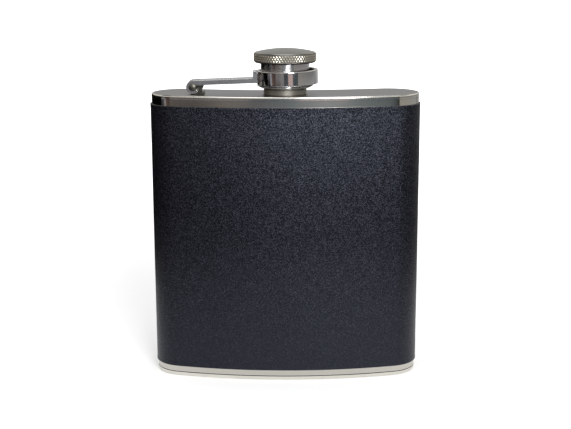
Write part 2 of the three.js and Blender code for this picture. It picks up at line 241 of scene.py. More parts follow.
class StageSettings(bpy.types.PropertyGroup):
    """The camera, the light and the floor."""

    lens: FloatProperty(name="Lens", description="Focal length in millimetres", default=75.91, min=1)
    distance: distance("Distance", 408.3 * MM, "Camera in front of the neck's axis")
    height: distance("Height", 150.33 * MM, "Camera above the floor")
    pitch: angle("Pitch", 12.852, "Camera's tilt down")
    turn: angle("Turn", 0.62, "Camera round the neck's axis")
    roll: angle("Roll", -0.196, "Camera's roll")
    aim: distance("Aim", 60 * MM, "Height of the point that the lamps face")
    softbox: level("Softbox", 2, "Power of the overhead light in watts")
    softbox_width: distance("Softbox width", 0.55, "Width and depth of the overhead light")
    softbox_height: distance("Softbox height", 1, "Overhead light above the floor")
    softbox_front: distance("Softbox front", 0.1, "Overhead light in front of the flask")
    key: level("Key", 2.2, "Power of the light at the front in watts")
    key_turn: angle("Key turn", 15, "Bearing of the front light, to the right of the camera")
    key_rise: angle("Key rise", 22, "Elevation of the front light")
    key_distance: distance("Key distance", 0.56, "Front light from the flask's middle")
    key_width: distance("Key width", 0.18, "Width of the front light")
    key_height: distance("Key height", 0.28, "Height of the front light")
    sky: level("Sky", 0.75, "Level of the light from all round")
    floor_reach: distance("Floor reach", 3, "Middle of the floor to its edges")
    glow_near: level("Near glow", 0.12, "White added to the floor at the flask, as seen")
    glow_far: level("Far glow", 1, "White added to the far floor, as seen")
    glow_start: distance("Glow start", 0.1, "From the flask to where the glow begins to grow")
    glow_end: distance("Glow end", 0.5, "From the flask to where it is full")
    wall_radius: distance("Wall radius", 0.6, "Radius of the ring of reflector cards")
    roundness: IntProperty(name="Roundness", description="Points round a turned piece", default=128, min=24)


# Meshes


def loft(name, grid, around=True, along=False, ends=()):
    """A mesh over a grid of points, given in metres as rows, columns and x, y, z. around joins the last
    column to the first, along joins the last row to the first, and ends names rows (0, -1) closed by a flat
    face."""
    rows, columns = grid.shape[:2]
    number = np.arange(rows * columns).reshape(rows, columns)
    if around:
        number = np.concatenate([number, number[:, :1]], axis=1)
    if along:
        number = np.concatenate([number, number[:1]], axis=0)
    corners = [number[:-1, :-1], number[:-1, 1:], number[1:, 1:], number[1:, :-1]]
    faces = np.stack(corners, axis=-1).reshape(-1, 4).tolist()
    faces += [number[row, :columns].tolist() for row in ends]
    mesh = bpy.data.meshes.new(name)
    mesh.from_pydata(grid.reshape(-1, 3), [], faces)
    work = bmesh.new()
    work.from_mesh(mesh)
    bmesh.ops.remove_doubles(work, verts=work.verts, dist=MERGED)
    bmesh.ops.recalc_face_normals(work, faces=work.faces)
    work.to_mesh(mesh)
    work.free()
    shade(mesh)
    return show(bpy.data.objects.new(name, mesh))


def shade(mesh):
    """Shades a mesh smooth, up to its creases."""
    mesh.polygons.foreach_set("use_smooth", np.ones(len(mesh.polygons), bool))
    mesh.set_sharp_from_angle(angle=CREASE)
    mesh.update()


def show(thing):
    """Puts an object into the scene."""
    bpy.context.scene.collection.objects.link(thing)
    return thing


def arc(centre, radius, first, last, steps):
    """Points of an arc, from one angle to another in degrees: centre plus radius times cosine and sine."""
    bearing = np.radians(np.linspace(first, last, steps + 1))
    return np.stack([centre[0] + radius * np.cos(bearing), centre[1] + radius * np.sin(bearing)], axis=-1)


def path(*stretches):
    """Points and arcs joined into one array of points."""
    return np.concatenate([np.atleast_2d(np.asarray(stretch, float)) for stretch in stretches])


def straight(first, last, steps):
    """Points of a straight stretch, its ends included."""
    share = np.linspace(0, 1, steps + 1)[:, None]
    return np.asarray(first, float) * (1 - share) + np.asarray(last, float) * share


def plan(body, front=96, end=48):
    """The body's plan: a front arc, a round end, a back arc and the other end, as points at offset zero and
    the unit vectors along which an offset moves them. Every arc is a centre plus its radius times a unit
    vector."""
    half = body.thickness / 2
    reach = body.width / 2 - half
    bend = 2 * math.atan2(body.depth - body.thickness, reach)
    radius = reach / math.sin(bend)
    dip = radius * (1 - math.cos(bend))
    middle = PLATE[0].y + half
    right, left = -math.pi / 2 + bend, -math.pi / 2 - bend
    arcs = [
        ((0, radius), radius + half, 1, left, right, front),
        ((reach, dip), half, 1, right, right + math.pi, end),
        ((0, radius), radius - half, -1, right, left, front),
        ((-reach, dip), half, 1, left + math.pi, left + FULL_TURN, end),
    ]
    points, outward = [], []
    for centre, size, side, first, last, steps in arcs:
        bearing = np.linspace(first, last, steps, endpoint=False)
        unit = np.stack([np.cos(bearing), np.sin(bearing)], axis=-1)
        points.append(np.array(centre) + (0, middle) + size * unit)
        outward.append(side * unit)
    return np.concatenate(points), np.concatenate(outward)


def wrap(outline, profile):
    """Rows of the plan, one for each offset and height of a profile: point plus offset times unit vector."""
    points, outward = outline
    flat = points[None] + profile[:, 0, None, None] * outward[None]
    height = np.broadcast_to(profile[:, 1, None, None], flat.shape[:2] + (1,))
    return np.concatenate([flat, height], axis=-1)


def turn(profile, columns, centre, stand=0):
    """A profile of radius and height turned about an upright axis through centre: radius times the cosine
    and sine of the bearing. stand is how far each point stands out, by row and column."""
    around = np.arange(columns) * FULL_TURN / columns
    radius = profile[:, :1] + stand
    x = centre[0] + radius * np.cos(around)
    y = centre[1] + radius * np.sin(around)
    return np.stack([x, y, np.broadcast_to(profile[:, 1:], x.shape)], axis=-1)


def slab(name, outline, width):
    """A flat outline of x and z, extruded along Y to that width about y = 0, in the piece's own frame."""
    near = np.stack([outline[:, 0], np.full(len(outline), -width / 2), outline[:, 1]], axis=-1)
    return loft(name, np.stack([near, near * (1, -1, 1)]), ends=(0, -1))


def rod(name, radius, length):
    """A round rod along Y about the origin, with flat ends."""
    return slab(name, arc((0, 0), radius, 0, 360, PIN_SIDES)[:-1], length)


def cut(piece, tool, how="DIFFERENCE"):
    """Cuts the tool from the piece, or joins it, and removes the tool."""
    step = piece.modifiers.new("cut", "BOOLEAN")
    step.operation = how
    step.object = tool
    step.solver = "EXACT"
    settle(piece)
    bpy.data.objects.remove(tool)


def settle(piece):
    """Applies the piece's modifiers to its mesh."""
    graph = bpy.context.evaluated_depsgraph_get()
    graph.update()
    mesh = bpy.data.meshes.new_from_object(piece.evaluated_get(graph))
    piece.modifiers.clear()
    piece.data = mesh


def soften(piece, width):
    """Rounds the piece's sharp edges, shades it smooth, and keeps its flat faces evenly lit."""
    step = piece.modifiers.new("soften", "BEVEL")
    step.width = width
    step.segments = 3
    step.limit_method = "ANGLE"
    step.angle_limit = CREASE
    settle(piece)
    shade(piece.data)
    even = piece.modifiers.new("even", "WEIGHTED_NORMAL")
    even.keep_sharp = True
    settle(piece)


def hand_over(piece, body, node, material):
    """Gives the piece its material and slot, sets it on its body and lets it stand for the frame's node."""
    piece.data.materials.clear()
    piece.data.materials.append(material)
    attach(piece, body)
    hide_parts(node)


# Materials


def opaque(rgb):
    """A colour with full alpha."""
    return (*rgb, 1)


def feed(node, inputs):
    """Fills a node's inputs with values, or with the outputs that feed them."""
    for name, value in inputs.items():
        if isinstance(value, bpy.types.NodeSocket):
            node.id_data.links.new(value, node.inputs[name])
        else:
            node.inputs[name].default_value = value


def add(tree, kind, inputs, settings=()):
    """Adds a node, sets its properties and feeds its inputs."""
    made = tree.nodes.new(kind)
    for name, value in dict(settings).items():
        setattr(made, name, value)
    feed(made, inputs)
    return made


def begin(name):
    """A new material: the material, its tree, its Principled surface and the place on the piece."""
    material = bpy.data.materials.new(name)
    material.use_nodes = True
    tree = material.node_tree
    place = add(tree, "ShaderNodeTexCoord", {})
    return material, tree, tree.nodes["Principled BSDF"], place.outputs["Object"]


def grade(ramp, stops):
    """Sets a ramp's stops, each a share from 0 to 1 and a colour, and gives the ramp's colour."""
    made = ramp.color_ramp.elements
    made.remove(made[1])
    for number, (share, rgb) in enumerate(stops):
        stop = made.new(share) if number else made[0]
        stop.position = share
        stop.color = opaque(rgb)
    return ramp.outputs["Color"]


def marks(tree, place, size, depth):
    """Marks of blasting grit, of that size and depth in metres: their pattern and their relief. Real marks
    are too fine to show, so the sizes in use are coarser."""
    inputs = {"Vector": place, "Scale": 1 / size, "Detail": 4, "Roughness": 0.65}
    speck = add(tree, "ShaderNodeTexNoise", inputs).outputs["Fac"]
    bump = add(tree, "ShaderNodeBump", {"Height": speck, "Strength": 1, "Distance": depth})
    return speck, bump.outputs["Normal"]


def metal(shader, base, rough, more):
    """Makes the surface a metal of that colour and roughness."""
    feed(shader, {"Base Color": base, "Metallic": 1, "Roughness": rough, **more})


def rolled_stainless(name, base, seam_shade, low, high):
    """Stainless sheet, rolled and brushed along its length: fine level lines stretch the highlights up and
    down, and the roughness wanders a little from place to place. Between the two heights given, in the
    recessed seam above the foot, a painted shade darkens it."""
    material, tree, shader, place = begin(name)
    height = add(tree, "ShaderNodeSeparateXYZ", {"Vector": place}).outputs["Z"]
    margin = 0.01 * MM
    # painted shade in the seam between the two heights
    inside = {0: height, 1: (low + high) / 2, 2: (high - low) / 2 + margin}
    seam = add(tree, "ShaderNodeMath", inside, {"operation": "COMPARE"})
    tones = {"Factor": seam.outputs["Value"], "A": opaque(base), "B": opaque(seam_shade)}
    tone = add(tree, "ShaderNodeMix", tones, {"data_type": "RGBA"})
    drawn = add(tree, "ShaderNodeMapping", {"Vector": place, "Scale": (0.02, 0.02, 1)}).outputs["Vector"]
    brush = {"Vector": drawn, "Scale": 1 / (0.12 * MM), "Detail": 3, "Roughness": 0.7}
    lines = add(tree, "ShaderNodeTexNoise", brush).outputs["Fac"]
    relief = add(tree, "ShaderNodeBump", {"Height": lines, "Strength": 1, "Distance": 0.0004 * MM})
    cloud = add(tree, "ShaderNodeTexNoise", {"Vector": place, "Scale": 1 / (9 * MM), "Detail": 2})
    spread = {"Value": cloud.outputs["Fac"], "To Min": 0.07, "To Max": 0.13}
    rough = add(tree, "ShaderNodeMapRange", spread).outputs["Result"]
    metal(shader, tone.outputs["Result"], rough, {"Normal": relief.outputs["Normal"]})
    return material


def pressed_stainless(base, blasted, top):
    """Stainless, pressed: finely blasted to an even grey on its level face, at the height of the top, and
    polished on the rim and its rounding, which keep their highlights narrow."""
    material, tree, shader, place = begin("pressed_stainless")
    height = add(tree, "ShaderNodeSeparateXYZ", {"Vector": place}).outputs["Z"]
    level_face = {"Value": height, "From Min": top - 0.04 * MM, "From Max": top - 0.01 * MM}
    face = add(tree, "ShaderNodeMapRange", level_face).outputs["Result"]
    rough = add(tree, "ShaderNodeMapRange", {"Value": face, "To Min": 0.14, "To Max": 0.3})
    tones = {"Factor": face, "A": opaque(base), "B": opaque(blasted)}
    tone = add(tree, "ShaderNodeMix", tones, {"data_type": "RGBA"})
    relief = marks(tree, place, 0.3 * MM, 0.001 * MM)[1]
    metal(shader, tone.outputs["Result"], rough.outputs["Result"], {"Normal": relief})
    return material


def tumbled_metal(name, base):
    """Small steel parts, tumbled in a barrel with grit: dull all over, with a soft speckle and blurred
    reflections."""
    material, tree, shader, place = begin(name)
    speck, relief = marks(tree, place, 0.2 * MM, 0.004 * MM)
    rough = add(tree, "ShaderNodeMapRange", {"Value": speck, "To Min": 0.3, "To Max": 0.42})
    metal(shader, opaque(base), rough.outputs["Result"], {"Normal": relief})
    return material


def blasted_nickel(base, crest, groove):
    """Steel, blasted and nickel plated: a fine even speckle on the dome, a painted highlight on the knurl's
    crests, and duller plating down in its grooves with a painted shade."""
    material, tree, shader, place = begin("blasted_nickel")
    knurl_light_and_shade = add(tree, "ShaderNodeAttribute", {}, {"attribute_name": "knurl_light_and_shade"}).outputs["Fac"]
    dulled = {"Value": knurl_light_and_shade, "From Min": 0.5, "To Min": 0.24, "To Max": 0.5}
    rough = add(tree, "ShaderNodeMapRange", dulled).outputs["Result"]
    # painted highlight on the crests, plain plating on the dome, painted shade in the grooves
    tone = grade(add(tree, "ShaderNodeValToRGB", {"Fac": knurl_light_and_shade}), ((0, crest), (0.5, base), (1, groove)))
    relief = marks(tree, place, 0.25 * MM, 0.004 * MM)[1]
    metal(shader, tone, rough, {"Normal": relief})
    return material


def bright_nickel(name, base, rough):
    """Steel, polished and nickel plated: mirror-like, with faint waves left by the polishing wheel and a
    thin haze of handling marks."""
    material, tree, shader, place = begin(name)
    wave = add(tree, "ShaderNodeTexNoise", {"Vector": place, "Scale": 1 / (3 * MM), "Detail": 1})
    height = {"Height": wave.outputs["Fac"], "Strength": 1, "Distance": 0.006 * MM}
    relief = add(tree, "ShaderNodeBump", height).outputs["Normal"]
    handling = {"Vector": place, "Scale": 1 / (0.6 * MM), "Detail": 4, "Roughness": 0.7}
    haze = add(tree, "ShaderNodeTexNoise", handling).outputs["Fac"]
    spread = {"Value": haze, "To Min": rough - 0.03, "To Max": rough + 0.06}
    hazy = add(tree, "ShaderNodeMapRange", spread).outputs["Result"]
    metal(shader, opaque(base), hazy, {"Normal": relief})
    return material


def turned_metal(name, base, rough):
    """Metal, turned: fine grooves round the axis pull each highlight into an upright streak and leave it
    sharp sideways."""
    material, tree, shader, place = begin(name)
    around = add(tree, "ShaderNodeTangent", {}, {"direction_type": "RADIAL", "axis": "Z"})
    haze = add(tree, "ShaderNodeTexNoise", {"Vector": place, "Scale": 1 / (0.5 * MM), "Detail": 3})
    spread = {"Value": haze.outputs["Fac"], "To Min": rough - 0.05, "To Max": rough + 0.05}
    hazy = add(tree, "ShaderNodeMapRange", spread).outputs["Result"]
    grooves = {"Anisotropic": 0.8, "Anisotropic Rotation": 0.25, "Tangent": around.outputs["Tangent"]}
    metal(shader, opaque(base), hazy, grooves)
    return material


def pebbled_leather(leather, colours):
    """Cowhide, drum dyed navy, embossed with a fine pebble and pigment coated: dark creases round small soft
    pebbles, a broad dull sheen, and a slow drift of tone across the hide. Most pebbles are dull and a few
    are glossy, more so towards the top, and the coat's usual gloss changes with the height."""
    material, tree, shader, place = begin("pebbled_leather")
    pebble = leather.pebble
    wander = add(tree, "ShaderNodeTexNoise", {"Vector": place, "Scale": 1 / (2 * pebble), "Detail": 2})
    shift = {0: wander.outputs["Color"], 1: (pebble, pebble, pebble), 2: place}
    bent = add(tree, "ShaderNodeVectorMath", shift, {"operation": "MULTIPLY_ADD"}).outputs["Vector"]
    cell = {"Vector": bent, "Scale": 1 / pebble}
    edges = add(tree, "ShaderNodeTexVoronoi", cell, {"feature": "DISTANCE_TO_EDGE"}).outputs["Distance"]
    round_top = {"interpolation_type": "SMOOTHERSTEP"}
    rise = add(tree, "ShaderNodeMapRange", {"Value": edges, "From Max": 0.35}, round_top).outputs["Result"]
    pores = {"Vector": place, "Scale": 1 / pebble, "Detail": 2, "Roughness": 0.6}
    fine = add(tree, "ShaderNodeTexNoise", pores).outputs["Fac"]
    both = add(tree, "ShaderNodeMath", {0: fine, 1: 3, 2: rise}, {"operation": "MULTIPLY_ADD"})
    height = {"Height": both.outputs["Value"], "Strength": 1, "Distance": leather.pebble_height}
    relief = add(tree, "ShaderNodeBump", height).outputs["Normal"]
    drift = add(tree, "ShaderNodeTexNoise", {"Vector": place, "Scale": 1 / (22 * MM), "Detail": 3})
    range_of_tone = {"Value": drift.outputs["Fac"], "To Min": 0.75, "To Max": 1.2}
    tone = add(tree, "ShaderNodeMapRange", range_of_tone).outputs["Result"]
    # darker in the creases between the pebbles, lighter on their tops
    crease_tones = {"Factor": rise, "A": opaque(colours.valley), "B": opaque(colours.hide)}
    dyed = add(tree, "ShaderNodeMix", crease_tones, {"data_type": "RGBA"}).outputs["Result"]
    toned = add(tree, "ShaderNodeVectorMath", {0: dyed, "Scale": tone}, {"operation": "SCALE"})
    rough = add(tree, "ShaderNodeMapRange", {"Value": rise, "To Min": 0.42, "To Max": 0.31})

    each = add(tree, "ShaderNodeTexVoronoi", cell).outputs["Color"]
    chance = add(tree, "ShaderNodeSeparateColor", {"Color": each}).outputs["Red"]
    rare = add(tree, "ShaderNodeMath", {0: chance, 1: 3}, {"operation": "POWER"}).outputs["Value"]
    luck = add(tree, "ShaderNodeMapRange", {"Value": rare, "To Min": -0.46, "To Max": 1.38})
    up = add(tree, "ShaderNodeSeparateXYZ", {"Vector": place}).outputs["Z"]
    share = add(tree, "ShaderNodeMapRange", {"Value": up, "From Max": SLEEVE[1].z}).outputs["Result"]
    spread = add(tree, "ShaderNodeMapRange", {"Value": share, "To Min": 0.15}).outputs["Result"]
    # share of the sleeve's height and the usual gloss there
    levels = ((0, 0.47), (0.36, 0.44), (0.53, 0.37), (0.7, 0.42), (0.92, 0.58))
    stops = [(at, (gloss, gloss, gloss)) for at, gloss in levels]
    usual = grade(add(tree, "ShaderNodeValToRGB", {"Fac": share}), stops)
    gloss = {0: luck.outputs["Result"], 1: spread, 2: usual}
    coat = add(tree, "ShaderNodeMath", gloss, {"operation": "MULTIPLY_ADD"}).outputs["Value"]
    surface = {
        "Base Color": toned.outputs["Vector"],
        "Roughness": rough.outputs["Result"],
        "Normal": relief,
        "Specular IOR Level": coat,
        "Specular Tint": opaque(colours.sheen),
    }
    feed(shader, surface)
    return material


def foamed_polyethylene(base):
    """Polyethylene foam, die cut: off-white and dull, with fine closed cells."""
    material, tree, shader, place = begin("foamed_polyethylene")
    cells = add(tree, "ShaderNodeTexVoronoi", {"Vector": place, "Scale": 1 / (0.25 * MM)})
    height = {"Height": cells.outputs["Distance"], "Strength": 1, "Distance": 0.03 * MM}
    relief = add(tree, "ShaderNodeBump", height).outputs["Normal"]
    feed(shader, {"Base Color": opaque(base), "Roughness": 0.6, "Normal": relief})
    return material


# Pieces


def steel_wall(body, colours):
    """The bent wall, as a closed section of sheet carried round the plan."""
    low, high = WALL[0].z, WALL[1].z
    seam_top = low + body.seam
    profile = path(
        [-body.sheet, low],
        [-body.seam_depth, low],
        [-body.seam_depth, seam_top],
        [0, seam_top],
        straight((0, seam_top + body.seam), (0, high), 8),
        [-body.sheet, high],
    )
    made = loft("steel_wall", wrap(plan(body), profile), along=True)
    seam_shade_top = body.rim + body.seam
    steel = rolled_stainless("rolled_stainless", colours.steel, colours.seam_shade, body.rim, seam_shade_top)
    hand_over(made, "flask", "body_wall", steel)


def base_pan(body, colours):
    """The foot: from the middle line of the dished base out to the stand ring, round its edge, up the rim,
    and back over the inside of the pan."""
    inner = -body.edge - body.stand
    inside = body.recess + body.sheet
    profile = path(
        straight((-body.thickness / 2, body.recess), (inner - body.recess, body.recess), 6),
        [inner, 0],
        arc((-body.edge, body.edge), body.edge, -90, 0, 10),
        [0, body.rim],
        [-body.sheet, body.rim],
        [-body.sheet, inside],
        [-body.thickness / 2, inside],
    )
    made = loft("base_pan", wrap(plan(body), profile))
    seam_shade_top = body.rim + body.seam
    # the foot's lighter steel is painted light
    steel = rolled_stainless("folded_stainless_painted_light", colours.foot, colours.seam_shade, body.rim, seam_shade_top)
    hand_over(made, "flask", "base_plate", steel)


def top_pan(body, neck, colours):
    """The top: up its rim, round its edge, and level to the hole for the neck. On the level, each row lies
    between the plan and the circle of the hole, by a share that grows inwards."""
    outline = plan(body)
    hole = neck.root + neck.thread + SEAT
    under = body.height - body.sheet
    rim = path(
        [-body.sheet, body.height - body.rim],
        [0, body.height - body.rim],
        arc((-body.crown, body.height - body.crown), body.crown, 0, 90, 10),
    )
    outside = wrap(outline, rim)
    brim = wrap(outline, np.array([[-body.sheet, under]]))[0]
    bearing = np.arctan2(outside[-1, :, 1] - CAP_PLACE.y, outside[-1, :, 0] - CAP_PLACE.x)
    circle = np.array(CAP_PLACE.xy) + hole * np.stack([np.cos(bearing), np.sin(bearing)], axis=-1)

    def inwards(row, height, shares):
        share = shares[:, None, None]
        flat = row[None, :, :2] * (1 - share) + circle[None] * share
        return np.concatenate([flat, np.full(flat.shape[:2] + (1,), height)], axis=-1)

    shares = np.linspace(0, 1, 25)[1:]
    face = inwards(outside[-1], body.height, shares)
    back = inwards(brim, under, shares[::-1])
    made = loft("top_pan", np.concatenate([outside, face, back, brim[None]]), along=True)
    steel = pressed_stainless(colours.rim, colours.plate, body.height)
    hand_over(made, "flask", "top_plate", steel)


def leather_sleeve(body, leather, colours):
    """The glued hide: a closed section with rounded edges carried round the plan. Its outside swells and
    sinks by a few slow waves, lifts a little along both cut edges, and dips at the seam at the back by a
    groove that falls off with the square of the distance from it."""
    outline = plan(body, front=150, end=60)
    low, high = SLEEVE[0].z, SLEEVE[1].z
    outer = leather.gap + leather.thickness
    edge = leather.edge
    profile = path(
        [leather.gap, low],
        arc((outer - edge, low + edge), edge, -90, 0, 5),
        straight((outer, low + 2 * edge), (outer, high - 2 * edge), 96),
        arc((outer - edge, high - edge), edge, 0, 90, 5),
        [leather.gap, high],
    )
    points, outward = outline
    walked = np.cumsum(np.hypot(*(points - np.roll(points, 1, axis=0)).T))
    height = profile[:, 1]
    outside = np.clip((profile[:, 0] - leather.gap) / leather.thickness, 0, 1)
    waves = np.zeros((len(profile), len(points)))
    # waves round the girth, length of a wave up the side, shift and strength
    slow = ((3, 41 * MM, 0.4, 1), (7, 23 * MM, 2.1, 0.7), (13, 12 * MM, 4.4, 0.45), (29, 7 * MM, 1.3, 0.25))
    for count, rise, shift, strength in slow:
        along = count * FULL_TURN * walked / walked[-1]
        up = FULL_TURN * height / rise
        waves += strength * np.sin(along[None] + shift) * np.cos(up[:, None] + 2 * shift)
    waves *= leather.ripple / sum(strength for *_, strength in slow)
    near_edge = np.minimum(height - low, high - height)
    lift = leather.lift * np.exp(-((near_edge / leather.curl) ** 2))
    back = (outward[:, 1] > 0) & (np.abs(points[:, 0]) < body.width / 4)
    aside = np.where(back, points[:, 0], body.width)
    groove = leather.seam_depth * np.exp(-((aside / (leather.seam_width / 2)) ** 2))
    swell = waves - leather.ripple + lift[:, None] - leather.lift - groove[None]
    grid = wrap(outline, profile)
    grid[..., :2] += (outside[:, None] * swell)[..., None] * outward[None]
    made = loft("leather_sleeve", grid, along=True)
    hand_over(made, "flask", "leather_wrap", pebbled_leather(leather, colours))


def thread(profile, rows, columns, low, high, pitch):
    """How far a thread stands out, from 0 at its root to 1 at its crest, by row and column. On the rows
    named it is a trapezoid wave of the height less a turn's share of the pitch, and fades over the first
    and last half pitch. Elsewhere it is 0."""
    crest_share, flank_share = 0.48, 0.2
    height = profile[rows, 1]
    around = np.arange(columns)[None] / columns
    phase = (height[:, None] / pitch - around) % 1
    beside = crest_share / 2 + flank_share - np.abs(phase - 0.5)
    fade = np.clip(np.minimum(height - low, high - height) / (0.5 * pitch), 0, 1)
    stand = np.zeros((len(profile), columns))
    stand[rows] = np.clip(beside / flank_share, 0, 1) * fade[:, None]
    return stand


def spout(body, neck, stage, colours):
    """The neck: up the outside of its spigot and collar, up the thread, over the mouth and down the bore."""
    low, mouth = NECK[0].z, NECK[1].z
    collar = (NECK[1].x - NECK[0].x) / 2
    plate = body.height + SEAT
    top = body.height + neck.collar_top
    thread_top = mouth - neck.chamfer
    crest = neck.root + neck.thread
    before = path(
        [neck.bore, low],
        [crest, low],
        [crest, plate],
        [collar - neck.bevel, plate],
        [collar, plate + neck.bevel],
        arc((collar - neck.bevel, top - neck.bevel), neck.bevel, 0, 90, 4),
        [neck.root, top],
    )
    threaded = straight((neck.root, top + neck.lead), (neck.root, thread_top), 120)
    after = path(
        arc((neck.root - neck.chamfer, mouth - neck.bevel), neck.bevel, 60, 120, 4),
        straight((neck.bore, thread_top), (neck.bore, low + neck.bevel), 6),
    )
    profile = np.concatenate([before, threaded, after])
    rows = slice(len(before), len(before) + len(threaded))
    stand = neck.thread * thread(profile, rows, stage.roundness, top, thread_top, neck.pitch)
    made = loft("spout", turn(profile, stage.roundness, CAP_PLACE, stand), along=True)
    steel = turned_metal("turned_stainless", colours.neck, 0.7)
    hand_over(made, "flask", "neck", steel)


def cap_body(neck, cap, stage, colours):
    """The cap's sleeve: from the middle of its ceiling out, down the inner thread, round the bevelled lip,
    up the waist and back over the top."""
    root = cap.waist - cap.wall
    foot, top = CAP_SLEEVE[0].z, CAP_SLEEVE[1].z
    lip = (CAP_SLEEVE[1].x - CAP_SLEEVE[0].x) / 2
    lip_top = foot + cap.lip_height
    lip_foot = cap.waist + cap.lip_foot
    ceiling = SEAL[1].z + SEAT
    bevel = cap.bevel
    before = path([0, ceiling], [root, ceiling])
    threaded = straight((root, ceiling - bevel), (root, foot + bevel), 110)
    after = path(
        [root + bevel, foot],
        [lip_foot - bevel, foot],
        [lip_foot, foot + bevel / 2],
        arc((lip - bevel, lip_top - bevel), bevel, -30, 90, 5),
        arc((cap.waist + bevel, lip_top + bevel), bevel, 270, 180, 4),
        straight((cap.waist, lip_top + 2 * bevel), (cap.waist, top), 10),
        [0, top],
    )
    profile = np.concatenate([before, threaded, after])
    rows = slice(len(before), len(before) + len(threaded))
    stand = -cap.thread * thread(profile, rows, stage.roundness, foot + bevel, SEAL[0].z, neck.pitch)
    made = loft("cap_body", turn(profile, stage.roundness, CAP_PLACE, stand))
    plating = turned_metal("turned_nickel", colours.nickel, 0.2)
    hand_over(made, "cap", "cap_sleeve", plating)


def cap_grip(cap, colours):
    """The cap's head: from the middle of the dome out, down the knurled band, and back under it to the bore.
    Two sets of leaning V grooves cross on the band: its depth is the greater of two triangle waves, of the
    bearing plus and minus the height's share of the pitch, which leaves small pyramids. The pitch is drawn
    a little coarser than the real one, so that it shows."""
    outer = (HEAD[1].x - HEAD[0].x) / 2
    foot = HEAD[0].z
    knurl_top = foot + cap.knurl_height
    shoulder = outer - cap.edge - cap.knurl_depth
    band_foot, band_top = foot + cap.edge, knurl_top - cap.edge
    per_groove = 8
    columns = per_groove * round(FULL_TURN * outer / cap.knurl_pitch)
    rows = round(per_groove * (band_top - band_foot) * math.tan(cap.knurl_lean) / cap.knurl_pitch)
    bore = cap.waist + SEAT
    ceiling = CAP_SLEEVE[1].z + SEAT
    out_share, down_share = 0.3, 0.12
    brow, drop = shoulder + cap.edge * out_share, cap.edge * down_share
    share = np.linspace(0, 1, 15)
    dome = np.stack([shoulder * share, knurl_top + (HEAD[1].z - knurl_top) * (1 - share**2)], axis=-1)
    before = path(dome, [brow, knurl_top - drop])
    band = straight((outer, band_top), (outer, band_foot), rows)
    after = path(
        [brow, foot + drop],
        [shoulder, foot],
        [bore + cap.edge, foot],
        [bore, foot + cap.edge],
        [bore, ceiling],
        [0, ceiling],
    )
    phase = np.arange(columns)[None] / per_groove
    rise = np.arange(rows + 1)[:, None] / per_groove
    depth = np.maximum(*[1 - 2 * np.abs((phase + side * rise) % 1 - 0.5) for side in (1, -1)])
    depth[0] = depth[-1] = 1
    profile = np.concatenate([before, band, after])
    stand = np.zeros((len(profile), columns))
    stand[len(before) : len(before) + len(band)] = -cap.knurl_depth * depth
    made = loft("cap_grip", turn(profile, columns, CAP_PLACE, stand))
    paint_knurl_light_and_shade(made.data, cap, outer, knurl_top)
    plating = blasted_nickel(colours.knurl, colours.crest, colours.groove)
    hand_over(made, "cap", "cap_head", plating)


def paint_knurl_light_and_shade(mesh, cap, outer, knurl_top):
    """Keeps, at each point of the head, its painted light and shade: 0 on the knurl's crests, which get a
    painted highlight, 1 in its grooves, which get a painted shade, by the depth under the outer radius, and a
    half on the dome."""
    spots = np.empty(3 * len(mesh.vertices))
    mesh.vertices.foreach_get("co", spots)
    x, y, z = spots.reshape(-1, 3).T
    depth_share = (outer - np.hypot(x - CAP_PLACE.x, y - CAP_PLACE.y)) / cap.knurl_depth
    knurl_light_and_shade = np.interp(depth_share, (0.4, 0.7, 0.9), (0, 0.5, 1))
    kept = mesh.attributes.new("knurl_light_and_shade", "FLOAT", "POINT")
    kept.data.foreach_set("value", np.where(z < knurl_top - cap.edge / 4, knurl_light_and_shade, 0.5))


def cap_liner(cap, stage, colours):
    """The liner: a disc with softened edges. The mouth has pressed a shallow ring into its face, which
    falls off with the square of the distance from the ring's radius."""
    low, high = SEAL[0].z, SEAL[1].z
    outer = (SEAL[1].x - SEAL[0].x) / 2
    soft = cap.liner_edge
    radii = np.linspace(0, outer - soft, 40)
    face = low + cap.dent * np.exp(-(((radii - cap.dent_radius) / cap.dent_width) ** 2))
    profile = path(
        np.stack([radii, face], axis=-1),
        arc((outer - soft, low + soft), soft, -60, 0, 4),
        arc((outer - soft, high - soft), soft, 0, 90, 4),
        [0, high],
    )
    made = loft("cap_liner", turn(profile, stage.roundness, CAP_PLACE))
    hand_over(made, "cap", "cap_seal", foamed_polyethylene(colours.liner))


def keeper_ring(cap, stage, colours):
    """The captive ring: a band with rounded edges, turned about its own leaning axis."""
    outer = (RING[1].y - RING[0].y) / 2
    inner = outer - cap.ring_wall
    half = cap.ring_height / 2
    soft = cap.ring_edge
    profile = path(
        arc((outer - soft, -half + soft), soft, -90, 0, 5),
        straight((outer, -half + 2 * soft), (outer, half - 2 * soft), 6),
        arc((outer - soft, half - soft), soft, 0, 90, 5),
        arc((inner + soft, half - soft), soft, 90, 180, 5),
        straight((inner, half - 2 * soft), (inner, -half + 2 * soft), 6),
        arc((inner + soft, -half + soft), soft, 180, 270, 5),
    )
    made = loft("keeper_ring", turn(profile, 2 * stage.roundness, (0, 0)), along=True)
    middle = (RING[0] + RING[1]) / 2
    made.data.transform(Matrix.Translation(middle) @ Matrix.Rotation(-cap.ring_tilt, 4, "Y"))
    hand_over(made, "arm", "cap_ring", bright_nickel("bright_nickel", colours.nickel, 0.08))


